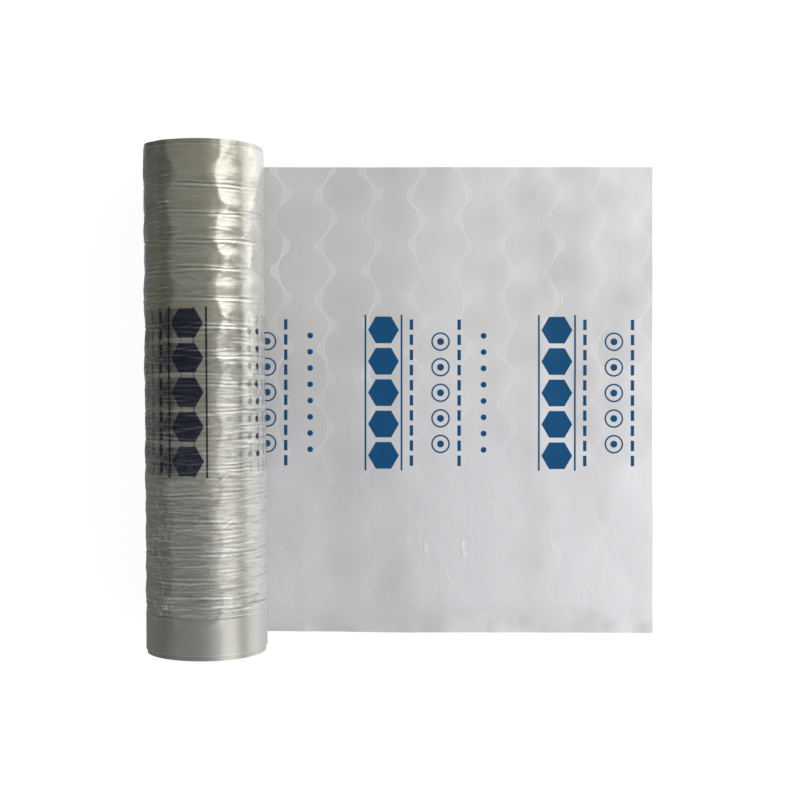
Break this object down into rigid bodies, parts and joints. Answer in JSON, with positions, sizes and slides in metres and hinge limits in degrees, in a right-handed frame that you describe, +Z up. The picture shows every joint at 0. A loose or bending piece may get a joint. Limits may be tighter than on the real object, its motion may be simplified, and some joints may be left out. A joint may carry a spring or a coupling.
{
  "type": "air pillow film roll",
  "caption": "Roll of clear air pillow packing film on a paper core, lying on its side with a length of flat web drawn out, printed with plain blue shapes.",
  "frame": {"origin": "on the table, under the middle of the whole length and width", "axes": "+Z up, +Y along the roll's axis, +X along the drawn-out web towards its cut edge"},
  "size_m": [0.425, 0.4086, 0.0976],
  "materials": {
    "film": "glossy, crinkled clear polyethylene film, grey where many turns lie on each other",
    "paperboard": "dull brown spiral-wound paperboard",
    "ink": "blue printing ink, seen through the film"
  },
  "bodies": {
    "root": {"film": "film", "core_tube": "paperboard", "printed_marks": "ink"}
  },
  "joints": []
}
